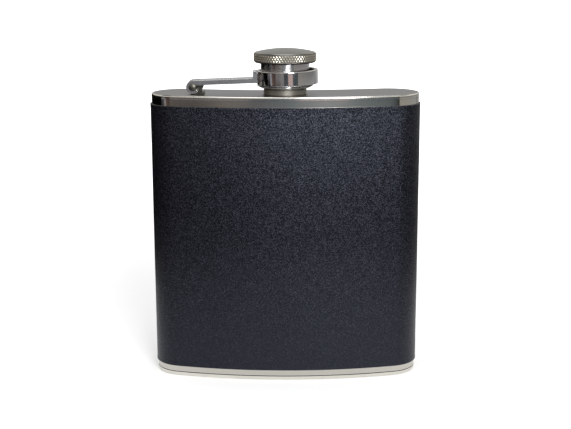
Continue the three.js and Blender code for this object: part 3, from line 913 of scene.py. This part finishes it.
def cap_strip(cap, hinge, colours):
    """The swing arm: the side view of strip, rolled eye and upturned tab, extruded to its width, notched for
    the bracket's knuckle and cut round by the ring. It is drawn with the pin at the origin and x along the
    strip."""
    arm_frame = Matrix.Translation(PIN_PLACE) @ Matrix.Rotation(-hinge.tilt, 4, "Y")
    width = ARM[1].y - ARM[0].y
    bore = hinge.pin + hinge.eye_gap
    eye = bore + hinge.eye_wall
    under = eye - hinge.strip
    ring = arm_frame.inverted() @ ((RING[0] + RING[1]) / 2)
    outer = (RING[1].y - RING[0].y) / 2 + hinge.braze
    top = ring.z + cap.ring_height / 2
    tab = ring.x - outer - hinge.tab
    meet = math.degrees(math.asin(under / bore))
    mouth = 360 - math.degrees(hinge.eye_mouth)
    bend = hinge.bend
    outline = path(
        [ring.x, under],
        [ring.x, top],
        [tab, top],
        arc((tab - bend, eye + bend), bend, 0, -90, 6),
        arc((0, 0), eye, 90, mouth, 60),
        arc((0, 0), bore, mouth, meet, 60),
    )
    made = slab("cap_strip", outline, width)
    reach = hinge.pin + SEAT + hinge.knuckle_wall + hinge.gap
    past = 2 * eye
    box = path([-past, -past], [reach, -past], [reach, past], [-past, past])
    cut(made, slab("notch", box, hinge.knuckle + 2 * hinge.gap))
    column = path([0, -2 * top], [outer, -2 * top], [outer, 3 * top], [0, 3 * top])
    space = loft("space", turn(column, SPACE_SIDES, (0, 0)))
    space.data.transform(Matrix.Translation(ring) @ Matrix.Rotation(hinge.tilt - cap.ring_tilt, 4, "Y"))
    cut(made, space)
    soften(made, hinge.bevel)
    made.data.transform(arm_frame)
    hand_over(made, "arm", "swing_arm", bright_nickel("satin_nickel", colours.nickel, 0.18))


def hinge_bracket(hinge, colours):
    """The bracket: a foot on the top plate, a leaning web and a knuckle round the pin, joined and bored."""
    plate = BRACKET[0].z - PIN_PLACE.z
    foot_width = BRACKET[1].y - BRACKET[0].y
    eye = hinge.pin + hinge.eye_gap + hinge.eye_wall
    knuckle = hinge.pin + SEAT + hinge.knuckle_wall
    near = eye + hinge.gap
    far = BRACKET[1].x - PIN_PLACE.x
    top = eye - hinge.strip - hinge.gap
    web = path([-hinge.pin, plate], [near, plate], [near + hinge.lean, top], [-hinge.pin, top])
    inner, upper = near - hinge.overlap, plate + hinge.foot
    foot = path([inner, plate], [far, plate], [far, upper], [inner, upper])
    made = slab("bracket", web, hinge.knuckle)
    cut(made, slab("foot", foot, foot_width), "UNION")
    cut(made, rod("roll", knuckle, hinge.knuckle), "UNION")
    cut(made, rod("bore", hinge.pin + hinge.pin_play, foot_width))
    soften(made, hinge.bracket_bevel)
    made.data.transform(Matrix.Translation(PIN_PLACE))
    # the bracket's dark colour is painted shade under the arm
    steel = tumbled_metal("tumbled_stainless", colours.bracket)
    hand_over(made, "flask", "hinge_bracket", steel)


def hinge_pin(hinge, colours):
    """The pin: a rod with a domed head at each end, turned about Y."""
    half = (ARM[1].y - ARM[0].y) / 2 + hinge.gap
    end = (PIN[1].y - PIN[0].y) / 2
    rim = (PIN[1].z - PIN[0].z) / 2
    rise = np.radians(np.linspace(0, 90, 9))
    head = np.stack([rim * np.cos(rise), half + (end - half) * np.sin(rise)], axis=-1)
    upper = path([hinge.pin, half], head)
    profile = np.concatenate([(upper * (1, -1))[::-1], upper])
    made = loft("pin", turn(profile, PIN_SIDES, (0, 0)))
    made.data.transform(Matrix.Translation(PIN_PLACE) @ Matrix.Rotation(math.pi / 2, 4, "X"))
    # the pin's dark colour is painted shade inside the rolled eye
    hand_over(made, "flask", "hinge_pin", tumbled_metal("tumbled_nickel", colours.pin))


# Stage

# Each set of cards is a row of bearings in degrees from the front, positive to the right, with the colours
# there. A pair at nearly one bearing is a sharp edge, and the rest blends.

TALL_CARDS = (
    (-180, "#bcbcbc"), (-150, "#bcbcbc"), (-149.9, "#040405"), (-57, "#040405"), (-56.9, "#4a3c38"),
    (-45, "#4a3c38"), (-44.9, "#6a625e"), (-30, "#56504e"), (-20, "#807a76"), (-10, "#74747a"),
    (0, "#7c868e"), (13, "#9aa4ae"), (24, "#869096"), (34, "#707a80"), (37, "#2a2c2c"), (40, "#2a2c2c"),
    (40.1, "#82807c"), (110, "#7c7c7c"), (150, "#bcbcbc"),
)
# The captive ring shows these as stripes.
STRIPE_CARDS = (
    (-165, "#040405"), (-77, "#040405"), (-76.9, "#bcb8c0"), (-61, "#bcb8c0"), (-60.9, "#4a3c38"),
    (-43, "#4a3c38"), (-42.9, "#9a989a"), (-12.1, "#9a989a"), (-12, "#0c0c10"), (3, "#0c0c10"),
    (3.1, "#e0bdb2"), (20, "#e0bdb2"), (20.1, "#050808"), (31, "#050808"), (32, "#40484a"),
    (39, "#40484a"), (40, "#a8a4a0"), (120, "#b0b0b0"),
)
# These light the knurl's upper facets and the front edges from above.
HIGH_CARDS = (
    (-165, "#e0dcd4"), (-80, "#f0ebe2"), (-45, "#fffbf4"), (120, "#fffbf4"), (165, "#dcd8d0"),
)
# These put a light block between dark ones at the left corner of the steel band.
LEFT_CARDS = (
    (-100, "#040405"), (-66, "#040405"), (-65.9, "#a8a4aa"), (-58, "#a8a4aa"), (-57.9, "#74645e"),
    (-44, "#5a4a44"),
)
# These light the band's right end.
RIGHT_CARDS = ((40, "#b4b0aa"), (120, "#b0b0b0"))
NEAR_PAPERS = (
    (-180, "#a0a0a0"), (-166, "#a0a0a0"), (-165, "#0a0a0a"), (-54, "#0a0a0a"), (-42, "#181818"),
    (-28, "#646464"), (-15, "#8c8c8c"), (-2, "#a4a4a4"), (20, "#acacac"), (35, "#949494"),
    (50, "#7c7c7c"), (90, "#7c7c7c"), (150, "#a0a0a0"),
)
FAR_PAPERS = (
    (-180, "#8a8a8a"), (-166, "#8a8a8a"), (-165, "#080808"), (-54, "#080808"), (-42, "#101010"),
    (-28, "#545454"), (-15, "#7c7c7c"), (0, "#989898"), (20, "#a0a0a0"), (35, "#848484"),
    (50, "#686868"), (90, "#5a5a5a"), (150, "#8a8a8a"),
)
PAPER = 0.5 * MM  # height at which the papers lie over the floor
# Each upright set with its share of the wall's radius, its bottom and its top.
UPRIGHT_CARDS = (
    ("tall_cards", TALL_CARDS, 1, -10 * MM, 1.4),
    ("low_cards", STRIPE_CARDS, 0.97, 34 * MM, 52 * MM),
    ("high_cards", HIGH_CARDS, 0.97, 0.2, 0.7),
    ("bottom_cards", LEFT_CARDS, 0.98, 2 * MM, 33 * MM),
    ("right_cards", RIGHT_CARDS, 0.98, 2 * MM, 33 * MM),
)
PAPERS_START, PAPERS_MEET = 0.14, 0.26  # from the flask's middle
CARD_POINTS = 145  # along each edge of a set of cards


def stand_camera(stage):
    """The camera in front of the flask, tipped down, rolled a little, and turned about the neck's axis."""
    data = bpy.data.cameras.new("camera")
    data.sensor_width = SENSOR
    data.lens = stage.lens
    made = show(bpy.data.objects.new("camera", data))
    axis = Matrix.Translation((CAP_PLACE.x, CAP_PLACE.y, 0)) @ Matrix.Rotation(stage.turn, 4, "Z")
    stand = Matrix.Translation((0, -stage.distance, stage.height))
    look = Matrix.Rotation(math.pi / 2 - stage.pitch, 4, "X") @ Matrix.Rotation(stage.roll, 4, "Z")
    made.matrix_world = axis @ stand @ look
    bpy.context.scene.camera = made


def hang_lamp(name, watts, width, height, place, aim):
    """A soft rectangular light at a place, facing the point at the height of the aim over the middle."""
    data = bpy.data.lights.new(name, "AREA")
    data.shape = "RECTANGLE"
    data.energy = watts
    data.size = width
    data.size_y = height
    made = show(bpy.data.objects.new(name, data))
    made.location = place
    made.rotation_euler = (Vector((0, 0, aim)) - place).to_track_quat("-Z", "Y").to_euler()


def hang_lamps(stage):
    """The overhead light, and the front light at its bearing and elevation from the flask's middle."""
    wide = stage.softbox_width
    above = Vector((0, -stage.softbox_front, stage.softbox_height))
    hang_lamp("softbox", stage.softbox, wide, wide, above, stage.aim)
    out = stage.key_distance * math.cos(stage.key_rise)
    up = stage.key_distance * math.sin(stage.key_rise)
    front = Vector((out * math.sin(stage.key_turn), -out * math.cos(stage.key_turn), stage.aim + up))
    hang_lamp("key_light", stage.key, stage.key_width, stage.key_height, front, stage.aim)


def light_world(stage):
    """White to the camera, to reflections and through glass, and a lower even level for what it lights."""
    world = bpy.data.worlds.new("studio")
    world.use_nodes = True
    tree = world.node_tree
    tree.nodes.clear()
    ray = add(tree, "ShaderNodeLightPath", {})
    shown = ray.outputs["Is Camera Ray"]
    for kind in ("Is Glossy Ray", "Is Transmission Ray"):
        either = {0: shown, 1: ray.outputs[kind]}
        shown = add(tree, "ShaderNodeMath", either, {"operation": "MAXIMUM"}).outputs["Value"]
    white = (1, 1, 1, 1)
    lit = add(tree, "ShaderNodeBackground", {"Color": white, "Strength": stage.sky})
    seen = add(tree, "ShaderNodeBackground", {"Color": white, "Strength": 1})
    both = add(tree, "ShaderNodeMixShader", {"Fac": shown, 1: lit.outputs[0], 2: seen.outputs[0]})
    add(tree, "ShaderNodeOutputWorld", {"Surface": both.outputs[0]})
    bpy.context.scene.world = world


def lay_floor(stage, colours):
    """A wide paper floor. To the camera it adds a glow that grows away from the flask, so that it is white
    to the horizon and keeps the flask's shadow."""
    corners = stage.floor_reach * np.array([(-1, -1, 0), (1, -1, 0), (1, 1, 0), (-1, 1, 0)])
    mesh = bpy.data.meshes.new("floor")
    mesh.from_pydata(corners, [], [(0, 1, 2, 3)])
    made = show(bpy.data.objects.new("floor", mesh))
    material, tree, shader, place = begin("paper_sweep")
    away = add(tree, "ShaderNodeVectorMath", {0: place}, {"operation": "LENGTH"}).outputs["Value"]
    growth = {
        "Value": away,
        "From Min": stage.glow_start,
        "From Max": stage.glow_end,
        "To Min": stage.glow_near,
        "To Max": stage.glow_far,
    }
    glow = add(tree, "ShaderNodeMapRange", growth, {"interpolation_type": "SMOOTHSTEP"})
    ray = add(tree, "ShaderNodeLightPath", {})
    product = {0: ray.outputs["Is Camera Ray"], 1: glow.outputs["Result"]}
    seen = add(tree, "ShaderNodeMath", product, {"operation": "MULTIPLY"}).outputs["Value"]
    feed(shader, {"Base Color": opaque(colours.floor), "Roughness": 0.9, "Specular IOR Level": 0})
    feed(shader, {"Emission Color": (1, 1, 1, 1), "Emission Strength": seen})
    mesh.materials.append(material)


def ring_of_cards(name, colours, inner, outer):
    """Cards on an arc round the flask, from the first to the last of their bearings, between two edges of
    one radius and height each: radius times the sine and cosine of the bearing. Only reflections see them."""
    bearings = [math.radians(degrees) for degrees, _ in colours]
    whole = bearings[0] <= -math.pi
    last = math.pi if whole else bearings[-1]
    turns = np.linspace(bearings[0], last, CARD_POINTS)[: -1 if whole else None]
    edges = [
        np.stack([radius * np.sin(turns), -radius * np.cos(turns), np.full(len(turns), height)], axis=-1)
        for radius, height in (inner, outer)
    ]
    made = loft(name, np.stack(edges), around=whole)
    material, tree, shader, place = begin(name)
    tree.nodes.remove(shader)
    split = add(tree, "ShaderNodeSeparateXYZ", {"Vector": place})
    forward = add(tree, "ShaderNodeMath", {0: split.outputs["Y"], 1: -1}, {"operation": "MULTIPLY"})
    sides = {0: split.outputs["X"], 1: forward.outputs["Value"]}
    bearing = add(tree, "ShaderNodeMath", sides, {"operation": "ARCTAN2"}).outputs["Value"]
    round_share = {"Value": bearing, "From Min": -math.pi, "From Max": math.pi}
    share = add(tree, "ShaderNodeMapRange", round_share).outputs["Result"]
    stops = [(degrees / 360 + 0.5, linear(code)) for degrees, code in colours]
    shown = grade(add(tree, "ShaderNodeValToRGB", {"Fac": share}), stops)
    glow = add(tree, "ShaderNodeEmission", {"Color": shown, "Strength": 1})
    feed(tree.nodes["Material Output"], {"Surface": glow.outputs[0]})
    made.data.materials.append(material)
    made.visible_camera = False
    made.visible_diffuse = False
    made.visible_shadow = False


def stand_cards(stage):
    """The tall cards, the lower ones just inside them, and the papers on the floor."""
    wall = stage.wall_radius
    for name, colours, share, low, high in UPRIGHT_CARDS:
        ring_of_cards(name, colours, (share * wall, low), (share * wall, high))
    meet = (PAPERS_MEET, PAPER)
    ring_of_cards("near_floor_cards", NEAR_PAPERS, (PAPERS_START, PAPER), meet)
    ring_of_cards("far_floor_cards", FAR_PAPERS, meet, (wall, PAPER))


# Operators


class FLASK_OT_stage(bpy.types.Operator):
    """Stands the camera, the floor, the lights and the cards"""

    bl_idname = "flask.stage"
    bl_label = "Stage"

    def execute(self, context):
        scene = context.scene
        scene.view_settings.view_transform = "Standard"
        stand_camera(scene.flask_stage)
        light_world(scene.flask_stage)
        lay_floor(scene.flask_stage, scene.flask_colours)
        stand_cards(scene.flask_stage)
        hang_lamps(scene.flask_stage)
        return {"FINISHED"}


class FLASK_OT_steel_body(bpy.types.Operator):
    """Makes the steel wall, the base and the top plate"""

    bl_idname = "flask.steel_body"
    bl_label = "Steel body"

    def execute(self, context):
        scene = context.scene
        steel_wall(scene.flask_body, scene.flask_colours)
        base_pan(scene.flask_body, scene.flask_colours)
        top_pan(scene.flask_body, scene.flask_neck, scene.flask_colours)
        return {"FINISHED"}


class FLASK_OT_leather(bpy.types.Operator):
    """Wraps the leather round the wall"""

    bl_idname = "flask.leather"
    bl_label = "Leather"

    def execute(self, context):
        scene = context.scene
        leather_sleeve(scene.flask_body, scene.flask_leather, scene.flask_colours)
        return {"FINISHED"}


class FLASK_OT_neck(bpy.types.Operator):
    """Turns the neck and its thread"""

    bl_idname = "flask.neck"
    bl_label = "Neck"

    def execute(self, context):
        scene = context.scene
        spout(scene.flask_body, scene.flask_neck, scene.flask_stage, scene.flask_colours)
        return {"FINISHED"}


class FLASK_OT_screw_cap(bpy.types.Operator):
    """Turns the cap's sleeve, its knurled head and its liner"""

    bl_idname = "flask.screw_cap"
    bl_label = "Screw cap"

    def execute(self, context):
        scene = context.scene
        cap_body(scene.flask_neck, scene.flask_cap, scene.flask_stage, scene.flask_colours)
        cap_grip(scene.flask_cap, scene.flask_colours)
        cap_liner(scene.flask_cap, scene.flask_stage, scene.flask_colours)
        return {"FINISHED"}


class FLASK_OT_swing_arm(bpy.types.Operator):
    """Makes the captive ring and the arm that carries it"""

    bl_idname = "flask.swing_arm"
    bl_label = "Swing arm"

    def execute(self, context):
        scene = context.scene
        keeper_ring(scene.flask_cap, scene.flask_stage, scene.flask_colours)
        cap_strip(scene.flask_cap, scene.flask_hinge, scene.flask_colours)
        return {"FINISHED"}


class FLASK_OT_hinge(bpy.types.Operator):
    """Makes the bracket on the top plate and its pin"""

    bl_idname = "flask.hinge"
    bl_label = "Hinge"

    def execute(self, context):
        scene = context.scene
        hinge_bracket(scene.flask_hinge, scene.flask_colours)
        hinge_pin(scene.flask_hinge, scene.flask_colours)
        return {"FINISHED"}


class FLASK_PT_sidebar(bpy.types.Panel):
    """Lists the flask's pieces in the sidebar"""

    bl_label = "Hip flask"
    bl_idname = "FLASK_PT_sidebar"
    bl_space_type = "VIEW_3D"
    bl_region_type = "UI"
    bl_category = "Flask"

    def draw(self, context):
        for maker in MAKERS:
            self.layout.operator(maker.bl_idname)


MAKERS = (
    FLASK_OT_stage,
    FLASK_OT_steel_body,
    FLASK_OT_leather,
    FLASK_OT_neck,
    FLASK_OT_screw_cap,
    FLASK_OT_swing_arm,
    FLASK_OT_hinge,
)
SETTINGS = {
    "flask_body": BodySizes,
    "flask_leather": LeatherSizes,
    "flask_neck": NeckSizes,
    "flask_cap": CapSizes,
    "flask_hinge": HingeSizes,
    "flask_colours": FinishColours,
    "flask_stage": StageSettings,
}


def register():
    for kind in (*SETTINGS.values(), *MAKERS, FLASK_PT_sidebar):
        bpy.utils.register_class(kind)
    for name, kind in SETTINGS.items():
        setattr(bpy.types.Scene, name, PointerProperty(type=kind))


def unregister():
    for name in SETTINGS:
        delattr(bpy.types.Scene, name)
    for kind in (FLASK_PT_sidebar, *reversed(MAKERS), *SETTINGS.values()):
        bpy.utils.unregister_class(kind)


def main():
    register()
    for maker in MAKERS:
        group, _, action = maker.bl_idname.partition(".")
        getattr(getattr(bpy.ops, group), action)()


if __name__ == "__main__":
    main()
